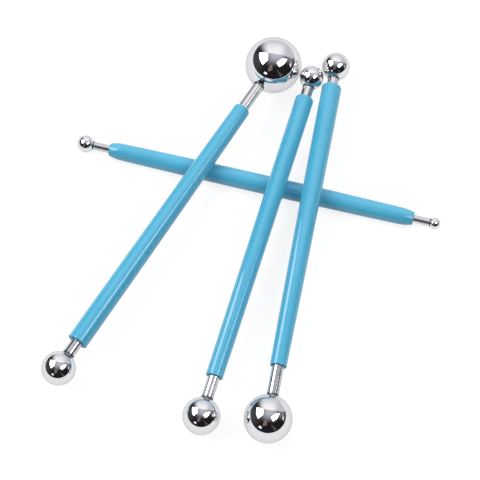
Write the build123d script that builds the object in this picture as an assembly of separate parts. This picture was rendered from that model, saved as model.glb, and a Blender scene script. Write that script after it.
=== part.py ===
from build123d import *
import os
from dataclasses import dataclass
from math import asin, atan, cos, radians, sin, sqrt

# Four double-ended ball styluses lie as a loose set on a table.
# The fine one lies across, flat on the table, and the small, medium and large ones lie over it.
# Every stylus runs from its first ball, at the left or near end, to its second.

# Polished balls
fine_left_ball_diameter = 6.0
fine_right_ball_diameter = 4.0
small_near_ball_diameter = 12.5
small_far_ball_diameter = 8.5
medium_near_ball_diameter = 16.0
medium_far_ball_diameter = 10.0
large_near_ball_diameter = 11.4
large_far_ball_diameter = 20.0

# Steel shafts, one in each end of a handle
shaft_diameter = 3.9
fine_left_shaft_diameter = 2.7
fine_right_shaft_diameter = 2.6
shaft_seat_depth = 15.0
fine_shaft_seat_depth = 12.0
shaft_end_chamfer = 0.2
fit_clearance = 0.02

# Bare length of shaft between the handle and the ball's surface
fine_left_exposed = 5.75
fine_right_exposed = 5.4
small_near_exposed = 7.7
small_far_exposed = 4.1
medium_near_exposed = 10.3
medium_far_exposed = 2.95
large_near_exposed = 5.2
large_far_exposed = 10.7

# Collar that joins a ball to its shaft
collar_wall = 0.15
collar_length = 0.7
collar_rounding = 0.1
fine_collar_length = 0.4

# Handles
fine_handle_length = 109.0
fine_middle_diameter = 6.7
fine_shoulder_diameter = 6.0
fine_nose_diameter = 4.4
fine_nose_length = 5.0
fine_nose_rounding = 0.5
small_handle_length = 107.3
small_thin_diameter = 5.8
small_thick_diameter = 6.5
medium_handle_length = 106.25
medium_thin_diameter = 5.6
medium_thick_diameter = 7.0
large_handle_length = 103.6
large_thin_diameter = 5.9
large_thick_diameter = 7.0
near_edge_rounding = 0.2
far_edge_rounding = 1.0

# How the set lies
fine_heading = -14.37
small_heading = 73.0
medium_heading = 79.2
large_heading = 58.15
rest_gap = 0.1
medium_crossing_from_fine_middle = 18.5
medium_crossing_from_near_ball = 84.7
small_ball_past_medium_handle = 1.65
small_ball_tuck = 0.15
large_ball_to_small_ball_gap = 0.48
large_ball_bearing = 155.0


@dataclass
class Tip:
    place: str
    ball_diameter: float
    shaft_diameter: float
    exposed: float
    seat_depth: float
    collar_length: float

    def reach(self):
        # from the handle's end face to the ball's centre
        return self.exposed + self.ball_diameter / 2


@dataclass
class Stylus:
    name: str
    handle_length: float
    first: Tip
    second: Tip

    def length(self):
        # between the two ball centres
        return self.first.reach() + self.handle_length + self.second.reach()


def bow_radius(full, end, reach, distance):
    # radius of an outline that runs parallel to the axis at its full radius
    # and curves in to the end radius at the stated reach
    drop = full - end
    curve = (reach**2 + drop**2) / (2 * drop)
    return full - curve + sqrt(curve**2 - distance**2)


def bow(full_at, full, end_at, end):
    # the same outline as an edge, from its end to its full radius
    reach = abs(end_at - full_at)
    middle_at = (end_at + full_at) / 2
    middle = bow_radius(full, end, reach, reach / 2)
    return ThreePointArc((end_at, end), (middle_at, middle), (full_at, full))


def half_outline(edges, length):
    # a flat face closed along the handle's two ends and its axis
    ends = [edge @ t for edge in edges for t in (0, 1)]
    first = min(ends, key=lambda point: point.X)
    last = max(ends, key=lambda point: point.X)
    sides = Polyline((0, first.Y), (0, 0), (length, 0), (length, last.Y))
    return make_face([*edges, *sides.edges()])


def rounded(outline, place, rounding):
    # the flat face with its corner at that place rounded
    corner = outline.vertices().sort_by_distance(place)[0]
    return fillet(corner, rounding)


def with_bores(solid, stylus):
    # blind bores for the two shafts
    for tip, end_at, way in ((stylus.first, 0, 1), (stylus.second, stylus.handle_length, -1)):
        bore = Cylinder(tip.shaft_diameter / 2 + fit_clearance, tip.seat_depth)
        solid -= Location((end_at + way * tip.seat_depth / 2, 0, 0), (0, 90, 0)) * bore
    return solid


def barrel_handle(stylus):
    # thickest in the middle, with a rounded nose at both ends
    length = stylus.handle_length
    middle = fine_middle_diameter / 2
    shoulder = fine_shoulder_diameter / 2
    nose = fine_nose_diameter / 2
    edges = [
        bow(fine_nose_length, shoulder, 0, nose),
        bow(length / 2, middle, fine_nose_length, shoulder),
        bow(length / 2, middle, length - fine_nose_length, shoulder),
        bow(length - fine_nose_length, shoulder, length, nose),
    ]
    outline = half_outline(edges, length)
    outline = rounded(outline, (0, nose), fine_nose_rounding)
    outline = rounded(outline, (length, nose), fine_nose_rounding)
    return with_bores(revolve(outline, Axis.X), stylus)


def tapered_handle(stylus, near_diameter, far_diameter):
    # parallel at its thick end, and curved in towards its thin end
    length = stylus.handle_length
    near = near_diameter / 2
    far = far_diameter / 2
    if near < far:
        edge = bow(length, far, 0, near)
    else:
        edge = bow(0, near, length, far)
    outline = half_outline([edge], length)
    outline = rounded(outline, (0, near), near_edge_rounding)
    outline = rounded(outline, (length, far), far_edge_rounding)
    return with_bores(revolve(outline, Axis.X), stylus)


def shaft(tip):
    # from the bottom of the handle's bore to the ball's centre
    length = tip.seat_depth + tip.reach()
    rod = Cylinder(tip.shaft_diameter / 2, length)
    rod = chamfer(rod.edges().filter_by(GeomType.CIRCLE), shaft_end_chamfer)
    return Location((length / 2 - tip.seat_depth, 0, 0), (0, 90, 0)) * rod


def ball(tip):
    # a ball with a collar, and a socket that ends at the ball's centre
    radius = tip.ball_diameter / 2
    socket = tip.shaft_diameter / 2 + fit_clearance
    collar = tip.shaft_diameter / 2 + collar_wall
    centre = tip.reach()
    neck = centre - sqrt(radius**2 - collar**2)
    mouth = neck - tip.collar_length
    round_point = collar_rounding * (1 - sqrt(0.5))
    profile = [
        ThreePointArc((centre + radius, 0), (centre, radius), (neck, collar)),
        Line((neck, collar), (mouth + collar_rounding, collar)),
        ThreePointArc(
            (mouth + collar_rounding, collar),
            (mouth + round_point, collar - round_point),
            (mouth, collar - collar_rounding),
        ),
        Polyline(
            (mouth, collar - collar_rounding),
            (mouth, socket),
            (centre, socket),
            (centre, 0),
            (centre + radius, 0),
        ),
    ]
    return revolve(make_face(profile), Axis.X)


def direction(heading, tilt):
    return Vector(cos(heading) * cos(tilt), sin(heading) * cos(tilt), sin(tilt))


def placed(stylus, handle, first_ball, heading, tilt):
    # every node of a stylus whose first ball's centre is given
    along = direction(heading, tilt)
    upright = direction(heading, tilt + radians(90))
    frame = Plane(origin=first_ball + along * stylus.first.reach(), x_dir=along, z_dir=upright)
    nodes = {stylus.name + "_handle": handle}
    turn_round = Rotation(0, 0, 180)
    far_end = Location((stylus.handle_length, 0, 0))
    for tip, spot in ((stylus.first, turn_round), (stylus.second, far_end)):
        nodes[stylus.name + "_" + tip.place + "_shaft"] = spot * shaft(tip)
        nodes[stylus.name + "_" + tip.place + "_ball"] = spot * ball(tip)
    return {name: frame.location * solid for name, solid in nodes.items()}


def crossing_distance(point, heading):
    # plan distance back from a point on a stylus to the fine stylus's axis, which
    # runs through the origin, and the place of the crossing along that axis
    fine = radians(fine_heading)
    back = (point.Y * cos(fine) - point.X * sin(fine)) / sin(heading - fine)
    crossing = point - direction(heading, 0) * back
    return back, crossing.X * cos(fine) + crossing.Y * sin(fine)


def axis_height_over_fine(along_fine, handle_radius):
    half_barrel = fine_handle_length / 2 - fine_nose_length
    middle = fine_middle_diameter / 2
    top = middle + bow_radius(middle, fine_shoulder_diameter / 2, half_barrel, along_fine)
    return top + rest_gap + handle_radius


def common_tip(place, ball_diameter, exposed):
    return Tip(place, ball_diameter, shaft_diameter, exposed, shaft_seat_depth, collar_length)


def fine_tip(place, ball_diameter, diameter, exposed):
    return Tip(place, ball_diameter, diameter, exposed, fine_shaft_seat_depth, fine_collar_length)


fine = Stylus(
    "fine",
    fine_handle_length,
    fine_tip("left", fine_left_ball_diameter, fine_left_shaft_diameter, fine_left_exposed),
    fine_tip("right", fine_right_ball_diameter, fine_right_shaft_diameter, fine_right_exposed),
)
small = Stylus(
    "small",
    small_handle_length,
    common_tip("near", small_near_ball_diameter, small_near_exposed),
    common_tip("far", small_far_ball_diameter, small_far_exposed),
)
medium = Stylus(
    "medium",
    medium_handle_length,
    common_tip("near", medium_near_ball_diameter, medium_near_exposed),
    common_tip("far", medium_far_ball_diameter, medium_far_exposed),
)
large = Stylus(
    "large",
    large_handle_length,
    common_tip("near", large_near_ball_diameter, large_near_exposed),
    common_tip("far", large_far_ball_diameter, large_far_exposed),
)


def place_fine():
    # its handle's middle rests on the table at the origin
    heading = radians(fine_heading)
    middle = Vector(0, 0, fine_middle_diameter / 2)
    first_ball = middle - direction(heading, 0) * (fine.first.reach() + fine_handle_length / 2)
    return placed(fine, barrel_handle(fine), first_ball, heading, 0)


def place_medium():
    # its near ball rests on the table, and its handle on the fine handle
    heading = radians(medium_heading)
    crossing = direction(radians(fine_heading), 0) * medium_crossing_from_fine_middle
    reach = medium_crossing_from_near_ball
    from_thick_end = medium.first.reach() + medium_handle_length - reach
    radius = bow_radius(
        medium_thick_diameter / 2, medium_thin_diameter / 2, medium_handle_length, from_thick_end
    )
    low = medium_near_ball_diameter / 2
    rise = axis_height_over_fine(medium_crossing_from_fine_middle, radius) - low
    tilt = asin(rise / reach)
    first_ball = crossing - direction(heading, 0) * reach * cos(tilt) + Vector(0, 0, low)
    handle = tapered_handle(medium, medium_thin_diameter, medium_thick_diameter)
    return placed(medium, handle, first_ball, heading, tilt), first_ball


def place_small(medium_first_ball):
    # its far ball is tucked in past the rounded end of the medium handle, and its near ball
    # rests on the table
    heading = radians(small_heading)
    beside = radians(medium_heading)
    offset = small_far_ball_diameter / 2 + medium_thick_diameter / 2 - small_ball_tuck
    along_medium = medium.first.reach() + medium_handle_length + small_ball_past_medium_handle
    far_ball = medium_first_ball + direction(beside, 0) * along_medium
    far_ball = far_ball + direction(beside + radians(90), 0) * offset
    back, along_fine = crossing_distance(far_ball, heading)
    from_thick_end = back - small.second.reach()
    radius = bow_radius(
        small_thick_diameter / 2, small_thin_diameter / 2, small_handle_length, from_thick_end
    )
    low = small_near_ball_diameter / 2
    rise = axis_height_over_fine(along_fine, radius) - low
    tilt = atan(rise / (small.length() - back))
    first_ball = far_ball - direction(heading, 0) * small.length() * cos(tilt)
    first_ball = Vector(first_ball.X, first_ball.Y, low)
    handle = tapered_handle(small, small_thin_diameter, small_thick_diameter)
    return placed(small, handle, first_ball, heading, tilt), far_ball


def place_large(small_far_ball):
    # its far ball rests on the table beside the small stylus's, and its handle on the fine handle
    heading = radians(large_heading)
    offset = large_far_ball_diameter / 2 + small_far_ball_diameter / 2 + large_ball_to_small_ball_gap
    far_ball = small_far_ball + direction(radians(large_ball_bearing), 0) * offset
    back, along_fine = crossing_distance(far_ball, heading)
    from_thick_end = large.second.reach() + large_handle_length - back
    radius = bow_radius(
        large_thick_diameter / 2, large_thin_diameter / 2, large_handle_length, from_thick_end
    )
    high = large_far_ball_diameter / 2
    tilt = atan((high - axis_height_over_fine(along_fine, radius)) / back)
    far_ball = Vector(far_ball.X, far_ball.Y, high)
    first_ball = far_ball - direction(heading, tilt) * large.length()
    handle = tapered_handle(large, large_thick_diameter, large_thin_diameter)
    return placed(large, handle, first_ball, heading, tilt)


# The nodes of the whole set, moved so that its plan centre is the origin
nodes = place_fine()
medium_nodes, medium_first_ball = place_medium()
small_nodes, small_far_ball = place_small(medium_first_ball)
nodes.update(medium_nodes)
nodes.update(small_nodes)
nodes.update(place_large(small_far_ball))

centre = Compound(list(nodes.values())).bounding_box().center()
shift = Location((-centre.X, -centre.Y, 0))

os.makedirs("parts", exist_ok=True)
for name, solid in nodes.items():
    export_step(shift * solid, "parts/" + name + ".step")
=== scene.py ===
import bpy
import bmesh
from math import asin, cos, pi, radians, sin, sqrt
from mathutils import Matrix, Vector


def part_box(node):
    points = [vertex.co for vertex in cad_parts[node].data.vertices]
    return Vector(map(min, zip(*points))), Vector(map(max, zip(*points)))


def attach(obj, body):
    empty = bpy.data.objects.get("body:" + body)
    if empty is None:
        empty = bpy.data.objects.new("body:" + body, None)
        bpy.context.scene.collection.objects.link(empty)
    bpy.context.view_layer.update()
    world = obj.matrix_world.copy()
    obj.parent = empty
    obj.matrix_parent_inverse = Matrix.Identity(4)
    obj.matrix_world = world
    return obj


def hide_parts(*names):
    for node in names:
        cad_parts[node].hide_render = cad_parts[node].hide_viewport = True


# Dresses a loose set of four double-ended ball styluses. Sizes are in metres.

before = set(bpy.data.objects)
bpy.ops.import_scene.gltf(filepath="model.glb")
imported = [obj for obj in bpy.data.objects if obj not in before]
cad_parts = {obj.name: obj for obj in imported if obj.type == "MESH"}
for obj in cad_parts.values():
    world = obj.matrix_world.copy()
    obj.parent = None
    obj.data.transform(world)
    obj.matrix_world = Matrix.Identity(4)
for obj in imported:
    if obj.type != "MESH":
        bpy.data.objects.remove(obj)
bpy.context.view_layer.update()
print("frame loaded,", len(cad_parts), "solids")


# Node helpers for the finishes

noiseSpan = (0.3, 0.7)  # nearly all the values of a noise texture lie in it


def newMaterial(name):
    material = bpy.data.materials.new(name)
    material.use_nodes = True
    tree = material.node_tree
    shader = tree.nodes["Principled BSDF"]
    return material, tree, shader


def rodSpace(tree, stretch):
    # the piece's own lengthwise coordinates, stretched for grain along or around it
    place = tree.nodes.new("ShaderNodeAttribute")
    place.attribute_name = "rodSpace"
    mapping = tree.nodes.new("ShaderNodeMapping")
    mapping.inputs["Scale"].default_value = stretch
    tree.links.new(place.outputs["Vector"], mapping.inputs["Vector"])
    return mapping.outputs["Vector"]


def grain(tree, kind, low, high):
    # noise of one size in metres, spread from low to high
    noise = tree.nodes.new("ShaderNodeTexNoise")
    noise.inputs["Scale"].default_value = 1 / kind["size"]
    noise.inputs["Detail"].default_value = kind["detail"]
    tree.links.new(rodSpace(tree, kind["stretch"]), noise.inputs["Vector"])
    spread = tree.nodes.new("ShaderNodeMapRange")
    spread.inputs["From Min"].default_value = noiseSpan[0]
    spread.inputs["From Max"].default_value = noiseSpan[1]
    spread.inputs["To Min"].default_value = low
    spread.inputs["To Max"].default_value = high
    tree.links.new(noise.outputs["Fac"], spread.inputs["Value"])
    return spread.outputs["Result"]


def blendColours(tree, share, first, second):
    mix = tree.nodes.new("ShaderNodeMix")
    mix.data_type = "RGBA"
    mix.inputs["A"].default_value = (*first, 1)
    mix.inputs["B"].default_value = (*second, 1)
    tree.links.new(share, mix.inputs["Factor"])
    return mix.outputs["Result"]


def addHeight(tree, heights, depth, strength):
    # several heights added into one bump
    total = heights[0]
    for height in heights[1:]:
        both = tree.nodes.new("ShaderNodeMath")
        both.operation = "ADD"
        tree.links.new(total, both.inputs[0])
        tree.links.new(height, both.inputs[1])
        total = both.outputs["Value"]
    bump = tree.nodes.new("ShaderNodeBump")
    bump.inputs["Distance"].default_value = depth
    bump.inputs["Strength"].default_value = strength
    tree.links.new(total, bump.inputs["Height"])
    return bump.outputs["Normal"]


# Handle plastic

plasticLook = {
    "blue": (0.074, 0.412, 0.616),
    "paleBlue": (0.085, 0.430, 0.638),
    "clouds": {"stretch": (0.35, 1, 1), "size": 0.004, "detail": 3},
    "glossLow": 0.03,
    "glossHigh": 0.055,
    "rubbing": {"stretch": (1, 5, 5), "size": 0.004, "detail": 2},
    "shine": 0.6,
    "refraction": 1.5,
    "orangePeel": {"stretch": (1, 1, 1), "size": 0.0006, "detail": 2},
    "peelHeight": 0.5,
    "scratches": {"stretch": (1, 10, 10), "size": 0.006, "detail": 2},
    "scratchHeight": 0.35,
    "seamWidth": 0.00007,
    "seamHeight": 1.5,
    "bumpDepth": 0.00002,
    "bumpStrength": 0.06,
}

endLook = {**plasticLook, "glossLow": 0.35, "glossHigh": 0.5, "shine": 0.2}  # duller, for the cut ends


def partingLine(tree, look):
    # the mould's fine line along both flanks of a handle
    split = tree.nodes.new("ShaderNodeSeparateXYZ")
    tree.links.new(rodSpace(tree, (1, 1, 1)), split.inputs["Vector"])
    away = tree.nodes.new("ShaderNodeMath")
    away.operation = "ABSOLUTE"
    tree.links.new(split.outputs["Z"], away.inputs[0])
    ridge = tree.nodes.new("ShaderNodeMapRange")
    ridge.interpolation_type = "SMOOTHSTEP"
    ridge.inputs["From Min"].default_value = 0
    ridge.inputs["From Max"].default_value = look["seamWidth"]
    ridge.inputs["To Min"].default_value = look["seamHeight"]
    ridge.inputs["To Max"].default_value = 0
    tree.links.new(away.outputs["Value"], ridge.inputs["Value"])
    return ridge.outputs["Result"]


def skyPlastic(name, look):
    material, tree, shader = newMaterial(name)
    clouds = grain(tree, look["clouds"], 0, 1)
    tree.links.new(blendColours(tree, clouds, look["blue"], look["paleBlue"]), shader.inputs["Base Color"])
    rubbed = grain(tree, look["rubbing"], look["glossLow"], look["glossHigh"])
    tree.links.new(rubbed, shader.inputs["Roughness"])
    shader.inputs["IOR"].default_value = look["refraction"]
    shader.inputs["Specular IOR Level"].default_value = look["shine"]
    heights = [
        grain(tree, look["orangePeel"], 0, look["peelHeight"]),
        grain(tree, look["scratches"], 0, look["scratchHeight"]),
        partingLine(tree, look),
    ]
    relief = addHeight(tree, heights, look["bumpDepth"], look["bumpStrength"])
    tree.links.new(relief, shader.inputs["Normal"])
    return material


# Steel of the balls, the shafts and the collars

ballLook = {
    "bright": (0.72, 0.72, 0.735),
    "dull": (0.6948, 0.6948, 0.709275),
    "edge": (0.74, 0.74, 0.75),
    "clouds": {"stretch": (1, 1, 1), "size": 0.0025, "detail": 4},
    "glossLow": 0.015,
    "glossHigh": 0.05,
    "rubbing": {"stretch": (1, 1, 1), "size": 0.0018, "detail": 5},
    "ripple": {"stretch": (1, 1, 1), "size": 0.0022, "detail": 1},
    "bumpDepth": 0.00001,
    "bumpStrength": 0.12,
}

shaftLook = {
    "bright": (0.64, 0.64, 0.655),
    "dull": (0.59, 0.59, 0.61),
    # the dark edge tint is painted shade: it darkens the shafts' reflections along both flanks
    "edge": (0.35, 0.35, 0.36),
    "clouds": {"stretch": (1, 6, 6), "size": 0.004, "detail": 2},
    "glossLow": 0.08,
    "glossHigh": 0.12,
    "rubbing": {"stretch": (6, 1, 1), "size": 0.002, "detail": 5},
    "ripple": {"stretch": (4, 1, 1), "size": 0.003, "detail": 1},
    "bumpDepth": 0.000002,
    "bumpStrength": 0.02,
}

# a much darker steel for the collar and the fillet at the ball's neck
darkCollarLook = {
    "bright": (0.20, 0.20, 0.215),
    "dull": (0.07, 0.07, 0.08),
    "edge": (1, 1, 1),
    "clouds": {"stretch": (1, 1, 1), "size": 0.0009, "detail": 4},
    "glossLow": 0.12,
    "glossHigh": 0.26,
    "rubbing": {"stretch": (1, 1, 1), "size": 0.0007, "detail": 4},
    "ripple": {"stretch": (1, 1, 1), "size": 0.0006, "detail": 3},
    "bumpDepth": 0.00002,
    "bumpStrength": 0.12,
}


def steel(name, look):
    material, tree, shader = newMaterial(name)
    shader.inputs["Metallic"].default_value = 1
    shader.inputs["Specular Tint"].default_value = (*look["edge"], 1)
    clouds = grain(tree, look["clouds"], 0, 1)
    tree.links.new(blendColours(tree, clouds, look["bright"], look["dull"]), shader.inputs["Base Color"])
    rubbed = grain(tree, look["rubbing"], look["glossLow"], look["glossHigh"])
    tree.links.new(rubbed, shader.inputs["Roughness"])
    ripple = grain(tree, look["ripple"], 0, 1)
    relief = addHeight(tree, [ripple], look["bumpDepth"], look["bumpStrength"])
    tree.links.new(relief, shader.inputs["Normal"])
    return material


plastic = skyPlastic("sky blue moulded plastic", plasticLook)
endPlastic = skyPlastic("sky blue cut end", endLook)
ballSteel = steel("mirror polished ball steel", ballLook)
shaftSteel = steel("polished shaft steel", shaftLook)
collarSteel = steel("dark collar steel", darkCollarLook)
print("finishes made")


# Lathe work: a half outline in the XY plane, spun about the X axis

lathe = {
    "mergeDistance": 1e-7,
    "sharpAngle": 28,
}


def firstPoint(bm, along, out):
    return bm.verts.new((along, out, 0))


def lineTo(bm, last, along, out):
    grown = bmesh.ops.extrude_vert_indiv(bm, verts=[last])
    point = grown["verts"][0]
    point.co = (along, out, 0)
    return point


def arcRound(bm, last, along, out, turn, steps):
    # carries the outline round a centre, by a turn in radians
    swept = bmesh.ops.spin(
        bm, geom=[last], cent=(along, out, 0), axis=(0, 0, 1), angle=turn, steps=steps, use_merge=False
    )
    return [item for item in swept["geom_last"] if isinstance(item, bmesh.types.BMVert)][0]


def latheOutline(bm, sides):
    bmesh.ops.spin(
        bm,
        geom=bm.verts[:] + bm.edges[:],
        cent=(0, 0, 0),
        axis=(1, 0, 0),
        angle=2 * pi,
        steps=sides,
        use_merge=True,
    )
    bmesh.ops.remove_doubles(bm, verts=bm.verts[:], dist=lathe["mergeDistance"])
    bmesh.ops.recalc_face_normals(bm, faces=bm.faces[:])
    for face in bm.faces:
        face.smooth = True
    for edge in bm.edges:
        edge.smooth = edge.calc_face_angle(0) < radians(lathe["sharpAngle"])


def meshObject(bm, name, materials):
    mesh = bpy.data.meshes.new(name)
    bm.to_mesh(mesh)
    bm.free()
    for material in materials:
        mesh.materials.append(material)
    piece = bpy.data.objects.new(name, mesh)
    bpy.context.scene.collection.objects.link(piece)
    return piece


def finishPiece(bm, name, place, materials):
    # keeps the lengthwise coordinates for the grain, then puts the piece in its place
    layer = bm.verts.layers.float_vector.new("rodSpace")
    for vert in bm.verts:
        vert[layer] = vert.co
    bmesh.ops.transform(bm, matrix=place, verts=bm.verts[:])
    return meshObject(bm, name, materials)


# Handles

fit = {"glueFilm": 0.00002}

handleLook = {
    "sides": 96,
    "roundSteps": 7,
    "lengthCuts": 150,
    "mouthChamfer": 0.00015,
    "endFacing": 0.9,  # faces turned further along the rod than this have the cut ends' finish
}


def bowRadius(full, end, reach, distance):
    # parallel at its full radius, and curved in to the end radius at the stated reach
    drop = full - end
    curve = (reach**2 + drop**2) / (2 * drop)
    return full - curve + sqrt(curve**2 - distance**2)


def radiusAt(tool, along):
    length = tool["handleLength"]
    if "noseLength" in tool:
        inward = min(along, length - along)
        nose = tool["noseLength"]
        if inward < nose:
            return bowRadius(tool["shoulder"] / 2, tool["nose"] / 2, nose, nose - inward)
        half = length / 2
        return bowRadius(tool["middle"] / 2, tool["shoulder"] / 2, half - nose, half - inward)
    full = max(tool["nearWidth"], tool["farWidth"]) / 2
    thin = min(tool["nearWidth"], tool["farWidth"]) / 2
    fromThick = length - along if tool["farWidth"] > tool["nearWidth"] else along
    return bowRadius(full, thin, length, fromThick)


def handleOutline(bm, tool):
    # from the bottom of the first bore, over the body, to the bottom of the second
    look = handleLook
    chamfer = look["mouthChamfer"]
    length = tool["handleLength"]
    seatDepth = tool["seatDepth"]
    first, last = tool["roundings"]
    firstBore, lastBore = [end["shaft"] / 2 + fit["glueFilm"] for end in tool["ends"]]
    point = firstPoint(bm, seatDepth, 0)
    point = lineTo(bm, point, seatDepth, firstBore)
    point = lineTo(bm, point, chamfer, firstBore)
    point = lineTo(bm, point, 0, firstBore + chamfer)
    point = lineTo(bm, point, 0, radiusAt(tool, first) - first)
    point = arcRound(bm, point, first, point.co.y, -pi / 2, look["roundSteps"])
    for step in range(1, look["lengthCuts"] + 1):
        along = first + (length - first - last) * step / look["lengthCuts"]
        point = lineTo(bm, point, along, radiusAt(tool, along))
    lastOut = radiusAt(tool, length - last) - last
    point = arcRound(bm, point, length - last, lastOut, -pi / 2, look["roundSteps"])
    point = lineTo(bm, point, length, lastBore + chamfer)
    point = lineTo(bm, point, length - chamfer, lastBore)
    point = lineTo(bm, point, length - seatDepth, lastBore)
    lineTo(bm, point, length - seatDepth, 0)


def makeHandle(name, tool, place):
    bm = bmesh.new()
    handleOutline(bm, tool)
    latheOutline(bm, handleLook["sides"])
    for face in bm.faces:
        if abs(face.normal.x) > handleLook["endFacing"]:
            face.material_index = 1
    reach = tool["ends"][0]["bare"] + tool["ends"][0]["ball"] / 2
    piece = finishPiece(bm, name, place @ Matrix.Translation((reach, 0, 0)), [plastic, endPlastic])
    return piece


# Shafts

shaftShape = {
    "sides": 72,
    "endChamfer": 0.0002,
    "lengthCuts": 24,
}


def makeShaft(name, end, seatDepth, place):
    # from the bottom of its bore to the ball's centre, which is the origin
    look = shaftShape
    radius = end["shaft"] / 2
    length = seatDepth + end["bare"] + end["ball"] / 2
    chamfer = look["endChamfer"]
    bm = bmesh.new()
    point = firstPoint(bm, 0, 0)
    point = lineTo(bm, point, 0, radius - chamfer)
    point = lineTo(bm, point, chamfer, radius)
    for step in range(1, look["lengthCuts"] + 1):
        along = chamfer + (length - 2 * chamfer) * step / look["lengthCuts"]
        point = lineTo(bm, point, along, radius)
    point = lineTo(bm, point, length, radius - chamfer)
    lineTo(bm, point, length, 0)
    latheOutline(bm, look["sides"])
    piece = finishPiece(bm, name, place, [shaftSteel])
    return piece


# Balls

ballShape = {
    "sides": 144,
    "arcSteps": 72,
    "filletSteps": 8,
    "roundSteps": 5,
    "collarWall": 0.00015,
    "collarRounding": 0.0001,
    "neckFillet": 0.00012,
    "collarFinishShare": 0.6,  # the part of the fillet that has the collar's finish
}


def makeBall(name, end, place):
    # its centre is the origin, and its shaft leaves along +X
    look = ballShape
    radius = end["ball"] / 2
    collar = end["shaft"] / 2 + look["collarWall"]
    socket = end["shaft"] / 2 + fit["glueFilm"]
    rounding = look["collarRounding"]
    fillet = look["neckFillet"]
    neckAlong = sqrt(radius**2 - collar**2)
    mouth = neckAlong + end["collarLength"]
    filletOut = collar + fillet
    turn = asin(filletOut / (radius + fillet))
    filletAlong = (radius + fillet) * cos(turn)
    bm = bmesh.new()
    point = firstPoint(bm, -radius, 0)
    point = arcRound(bm, point, 0, 0, -(pi - turn), look["arcSteps"])
    point = arcRound(bm, point, filletAlong, filletOut, pi / 2 - turn, look["filletSteps"])
    point = lineTo(bm, point, mouth - rounding, collar)
    point = arcRound(bm, point, mouth - rounding, collar - rounding, -pi / 2, look["roundSteps"])
    point = lineTo(bm, point, mouth, socket)
    point = lineTo(bm, point, 0, socket)
    lineTo(bm, point, 0, 0)
    latheOutline(bm, look["sides"])
    for face in bm.faces:
        if face.calc_center_median().x > filletAlong - fillet * look["collarFinishShare"]:
            face.material_index = 1
    piece = finishPiece(bm, name, place, [ballSteel, collarSteel])
    return piece


# Sizes of the four tools, first the left or near end and then the other

def toolEnd(side, ball, shaft, bare, collarLength):
    return {
        "side": side,
        "ball": ball,
        "shaft": shaft,
        "bare": bare,
        "collarLength": collarLength,
    }


fineTool = {
    "name": "fine",
    "handleLength": 0.109,
    "middle": 0.0067,
    "shoulder": 0.006,
    "nose": 0.0044,
    "noseLength": 0.005,
    "roundings": (0.0005, 0.0005),
    "seatDepth": 0.012,
    "ends": (
        toolEnd("left", 0.006, 0.0027, 0.00575, 0.0004),
        toolEnd("right", 0.004, 0.0026, 0.0054, 0.0004),
    ),
}

smallTool = {
    "name": "small",
    "handleLength": 0.1073,
    "nearWidth": 0.0058,
    "farWidth": 0.0065,
    "roundings": (0.0002, 0.001),
    "seatDepth": 0.015,
    "ends": (
        toolEnd("near", 0.0125, 0.0039, 0.0077, 0.0007),
        toolEnd("far", 0.0085, 0.0039, 0.0041, 0.0007),
    ),
}

mediumTool = {
    "name": "medium",
    "handleLength": 0.10625,
    "nearWidth": 0.0056,
    "farWidth": 0.007,
    "roundings": (0.0002, 0.001),
    "seatDepth": 0.015,
    "ends": (
        toolEnd("near", 0.016, 0.0039, 0.0103, 0.0007),
        toolEnd("far", 0.010, 0.0039, 0.00295, 0.0007),
    ),
}

largeTool = {
    "name": "large",
    "handleLength": 0.1036,
    "nearWidth": 0.007,
    "farWidth": 0.0059,
    "roundings": (0.0002, 0.001),
    "seatDepth": 0.015,
    "ends": (
        toolEnd("near", 0.0114, 0.0039, 0.0052, 0.0007),
        toolEnd("far", 0.020, 0.0039, 0.0107, 0.0007),
    ),
}


def middleOf(node):
    low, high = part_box(node)
    return (low + high) / 2


def toolPlace(tool):
    # the first ball's centre, with X along the tool and Z upright, from where its shafts lie
    first = middleOf(tool["name"] + "_" + tool["ends"][0]["side"] + "_shaft")
    second = middleOf(tool["name"] + "_" + tool["ends"][1]["side"] + "_shaft")
    along = (second - first).normalized()
    side = Vector((0, 0, 1)).cross(along).normalized()
    upright = along.cross(side)
    end = tool["ends"][0]
    back = (tool["seatDepth"] + end["bare"] + end["ball"] / 2) / 2
    turn = Matrix((along, side, upright)).transposed().to_4x4()
    return Matrix.Translation(first - along * back) @ turn


def makeTool(tool):
    name = tool["name"]
    body = name + "_stylus"
    place = toolPlace(tool)
    handle = makeHandle(name + "_handle_moulded", tool, place)
    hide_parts(name + "_handle")
    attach(handle, body)
    length = tool["handleLength"] + sum(end["bare"] + end["ball"] / 2 for end in tool["ends"])
    turnedRound = place @ Matrix.Translation((length, 0, 0)) @ Matrix.Rotation(pi, 4, "Z")
    for end, spot in zip(tool["ends"], (place, turnedRound)):
        stem = name + "_" + end["side"]
        shaft = makeShaft(stem + "_shaft_polished", end, tool["seatDepth"], spot)
        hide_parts(stem + "_shaft")
        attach(shaft, body)
        ball = makeBall(stem + "_ball_polished", end, spot)
        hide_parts(stem + "_ball")
        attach(ball, body)
    print(name, "stylus made")


for tool in (fineTool, smallTool, mediumTool, largeTool):
    makeTool(tool)


# Studio: a white paper floor, glowing panels and paper, and the dim room that the polished steel mirrors

studioLook = {
    "floorWidth": 8.0,
    "floorWhite": 0.24,
    "floorGlow": 0.82,
    "bounceWhite": 0.60,
}


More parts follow.
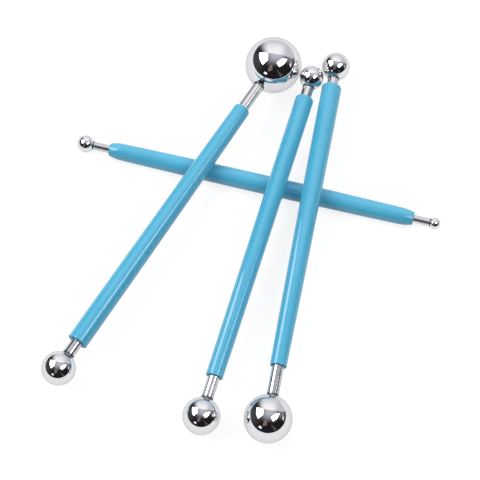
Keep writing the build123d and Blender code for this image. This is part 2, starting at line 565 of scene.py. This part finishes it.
def paperFloor():
    look = studioLook
    material, tree, shader = newMaterial("white table paper")
    tree.nodes.remove(shader)
    output = tree.nodes["Material Output"]
    seen = tree.nodes.new("ShaderNodeLightPath")
    either = tree.nodes.new("ShaderNodeMath")
    either.operation = "MAXIMUM"
    tree.links.new(seen.outputs["Is Camera Ray"], either.inputs[0])
    tree.links.new(seen.outputs["Is Glossy Ray"], either.inputs[1])
    shownRays = tree.nodes.new("ShaderNodeMath")
    shownRays.operation = "MAXIMUM"
    tree.links.new(either.outputs["Value"], shownRays.inputs[0])
    tree.links.new(seen.outputs["Is Transmission Ray"], shownRays.inputs[1])
    lit = tree.nodes.new("ShaderNodeBsdfDiffuse")
    lit.inputs["Color"].default_value = (look["floorWhite"],) * 3 + (1,)
    glow = tree.nodes.new("ShaderNodeEmission")
    glow.inputs["Color"].default_value = (1, 1, 1, 1)
    glow.inputs["Strength"].default_value = look["floorGlow"]
    shown = tree.nodes.new("ShaderNodeAddShader")
    tree.links.new(lit.outputs["BSDF"], shown.inputs[0])
    tree.links.new(glow.outputs["Emission"], shown.inputs[1])
    plain = tree.nodes.new("ShaderNodeBsdfDiffuse")
    plain.inputs["Color"].default_value = (look["bounceWhite"],) * 3 + (1,)
    choose = tree.nodes.new("ShaderNodeMixShader")
    tree.links.new(shownRays.outputs["Value"], choose.inputs["Fac"])
    tree.links.new(plain.outputs["BSDF"], choose.inputs[1])
    tree.links.new(shown.outputs["Shader"], choose.inputs[2])
    tree.links.new(choose.outputs["Shader"], output.inputs["Surface"])
    bm = bmesh.new()
    bmesh.ops.create_grid(bm, x_segments=2, y_segments=2, size=look["floorWidth"] / 2)
    floor = meshObject(bm, "paper_floor", [material])


# Lamps and lit walls: each a glowing panel, with its corners as directions from the middle of the set

lamps = {
    "left_box": {
        "corners": (
            (-0.726, 0.544, 0.422),
            (-0.342, 0.373, 0.862),
            (-0.396, -0.076, 0.915),
            (-0.720, -0.287, 0.632),
            (-0.812, 0.073, 0.579),
        ),
        "distance": 1.0,
        "colour": (1, 1, 1),
        "radiance": 5.3,
    },
    "right_box": {
        "corners": (
            (0.204, -0.293, 0.934),
            (0.534, 0.031, 0.845),
            (0.801, 0.118, 0.587),
            (0.648, -0.296, 0.702),
            (0.381, -0.535, 0.754),
        ),
        "distance": 1.0,
        "colour": (1, 1, 1),
        "radiance": 5.3,
    },
    "low_window": {
        "corners": (
            (-0.66, -0.72, 0.24),
            (-0.60, -0.70, 0.41),
            (-0.44, -0.81, 0.39),
            (-0.47, -0.86, 0.25),
        ),
        "distance": 1.5,
        "colour": (0.95, 0.98, 1),
        "radiance": 1.5,
    },
    "side_card": {
        "corners": (
            (0.956, 0.069, 0.284),
            (0.925, -0.133, 0.355),
            (0.959, -0.238, 0.164),
            (0.975, -0.120, 0.190),
        ),
        "distance": 1.5,
        "colour": (1, 1, 1),
        "radiance": 1.1,
    },
    "warm_wall": {
        "corners": (
            (-0.300, -0.470, 0.830),
            (-0.420, -0.766, 0.493),
            (-0.100, -0.770, 0.630),
            (-0.080, -0.420, 0.905),
        ),
        "distance": 2.0,
        "colour": (0.29, 0.235, 0.215),
        "radiance": 0.85,
    },
    "grey_wall": {
        "corners": (
            (0.180, -0.700, 0.690),
            (0.591, -0.795, 0.139),
            (0.400, -0.905, 0.120),
        ),
        "distance": 2.0,
        "colour": (0.115, 0.115, 0.12),
        "radiance": 0.9,
    },
}


def glowMaterial(name, strength):
    material, tree, shader = newMaterial(name)
    tree.nodes.remove(shader)
    glow = tree.nodes.new("ShaderNodeEmission")
    glow.inputs["Strength"].default_value = strength
    tree.links.new(glow.outputs["Emission"], tree.nodes["Material Output"].inputs["Surface"])
    return material, tree, glow


def farPoints(bm, ways, distance):
    return [bm.verts.new(Vector(way).normalized() * distance) for way in ways]


def glowPanel(name, lamp):
    material, tree, glow = glowMaterial(name + " glow", lamp["radiance"])
    glow.inputs["Color"].default_value = (*lamp["colour"], 1)
    bm = bmesh.new()
    bmesh.ops.contextual_create(bm, geom=farPoints(bm, lamp["corners"], lamp["distance"]))
    panel = meshObject(bm, name, [material])


roomLook = {
    "dark": (0.018, 0.016, 0.018),
    "grey": (0.66, 0.66, 0.73),
    "duskyLeft": (0.075, 0.072, 0.082),
    "duskyRight": (0.27, 0.27, 0.29),
    "leftAcross": (-0.45, -0.90),
    "leftDeep": (-0.8, 0),
    "rightAcross": (0.50, 0.95),
    "rightDeep": (-0.35, 0.15),
    "rightHigh": (0.02, 0.25),
    "ceilingHigh": (0.55, 0.96),
    "ceilingDeep": (-0.70, 0.12),
    "ceilingAcross": (-0.85, 0.05),
}


def spreadAlong(tree, value, span):
    # 0 at the start of the span and before it, 1 at its end and beyond
    spread = tree.nodes.new("ShaderNodeMapRange")
    spread.interpolation_type = "SMOOTHSTEP"
    spread.inputs["From Min"].default_value = span[0]
    spread.inputs["From Max"].default_value = span[1]
    tree.links.new(value, spread.inputs["Value"])
    return spread.outputs["Result"]


def product(tree, first, *others):
    total = first
    for other in others:
        both = tree.nodes.new("ShaderNodeMath")
        both.operation = "MULTIPLY"
        tree.links.new(total, both.inputs[0])
        tree.links.new(other, both.inputs[1])
        total = both.outputs["Value"]
    return total


def layColour(tree, share, under, over):
    # a colour laid over another one, which may itself be a blend
    mix = blendColours(tree, share, over, over)
    tree.links.new(under, mix.node.inputs["A"])
    return mix


def dimRoom():
    # a dark room under a grey ceiling, a little lighter at both sides
    look = roomLook
    world = bpy.data.worlds.new("dim room")
    bpy.context.scene.world = world
    world.use_nodes = True
    tree = world.node_tree
    backing = tree.nodes["Background"]
    way = tree.nodes.new("ShaderNodeTexCoord")
    split = tree.nodes.new("ShaderNodeSeparateXYZ")
    tree.links.new(way.outputs["Generated"], split.inputs["Vector"])
    across = split.outputs["X"]
    deep = split.outputs["Y"]
    high = split.outputs["Z"]
    left = product(
        tree,
        spreadAlong(tree, across, look["leftAcross"]),
        spreadAlong(tree, deep, look["leftDeep"]),
    )
    right = product(
        tree,
        spreadAlong(tree, across, look["rightAcross"]),
        spreadAlong(tree, deep, look["rightDeep"]),
        spreadAlong(tree, high, look["rightHigh"]),
    )
    ceiling = product(
        tree,
        spreadAlong(tree, high, look["ceilingHigh"]),
        spreadAlong(tree, deep, look["ceilingDeep"]),
        spreadAlong(tree, across, look["ceilingAcross"]),
    )
    sides = blendColours(tree, left, look["dark"], look["duskyLeft"])
    sides = layColour(tree, right, sides, look["duskyRight"])
    colour = layColour(tree, ceiling, sides, look["grey"])
    tree.links.new(colour, backing.inputs["Color"])


sweepLook = {
    "rim": (
        (-0.95, 0.45, 0.62),
        (-0.31, 0.39, 0.867),
        (0.119, 0.29, 0.953),
        (0.579, 0.26, 0.773),
        (0.835, 0.271, 0.479),
        (0.943, 0.312, 0.116),
    ),
    "rimDistance": 1.15,
    "foot": (-1.6, -0.6, 0.1, 0.8, 1.7, 2.4),
    "footDepth": 1.3,
    "strength": 1.27,
    "shade": (0.035, 0.034, 0.040),
    "bright": (1.0, 1.0, 1.0),
    "dim": (0.58, 0.585, 0.62),
    "low": (0.62, 0.63, 0.66),
    "lowToBright": (0, 0.9),
    "rightShade": (0.3, 0.85),
    "leftShade": (-0.22, -0.84),
}


def paperSweep():
    # the paper behind the set, leaning overhead: in shade at its left end, dimmer low down and right
    look = sweepLook
    material, tree, glow = glowMaterial("white sweep paper", look["strength"])
    where = tree.nodes.new("ShaderNodeTexCoord")
    split = tree.nodes.new("ShaderNodeSeparateXYZ")
    tree.links.new(where.outputs["Object"], split.inputs["Vector"])
    across = split.outputs["X"]
    height = spreadAlong(tree, split.outputs["Z"], look["lowToBright"])
    paper = blendColours(tree, height, look["low"], look["bright"])
    paper = layColour(tree, spreadAlong(tree, across, look["rightShade"]), paper, look["dim"])
    colour = layColour(tree, spreadAlong(tree, across, look["leftShade"]), paper, look["shade"])
    tree.links.new(colour, glow.inputs["Color"])
    bm = bmesh.new()
    foot = [bm.verts.new((x, look["footDepth"], 0)) for x in look["foot"]]
    rim = farPoints(bm, look["rim"], look["rimDistance"])
    rows = [[bm.edges.new(pair) for pair in zip(row, row[1:])] for row in (foot, rim)]
    bmesh.ops.bridge_loops(bm, edges=rows[0] + rows[1])
    sweep = meshObject(bm, "paper_sweep", [material])


paperFloor()
paperSweep()
dimRoom()
for name, lamp in lamps.items():
    glowPanel(name, lamp)
print("studio lit")


# Camera

view = {
    "target": (-0.00195, 0.00087, 0),
    "elevation": 65,
    "distance": 0.6,
    "lens": 130.43,
    "sensorWidth": 36,
    "clipStart": 0.01,
    "clipEnd": 20,
}


def makeCamera():
    data = bpy.data.cameras.new("camera")
    data.lens = view["lens"]
    data.sensor_width = view["sensorWidth"]
    data.clip_start = view["clipStart"]
    data.clip_end = view["clipEnd"]
    camera = bpy.data.objects.new("camera", data)
    tilt = radians(view["elevation"])
    back = Vector((0, -cos(tilt), sin(tilt)))
    camera.location = Vector(view["target"]) + back * view["distance"]
    camera.rotation_euler = (pi / 2 - tilt, 0, 0)
    bpy.context.scene.collection.objects.link(camera)
    bpy.context.scene.camera = camera


makeCamera()
bpy.context.scene.view_settings.view_transform = "Standard"
print("camera set")
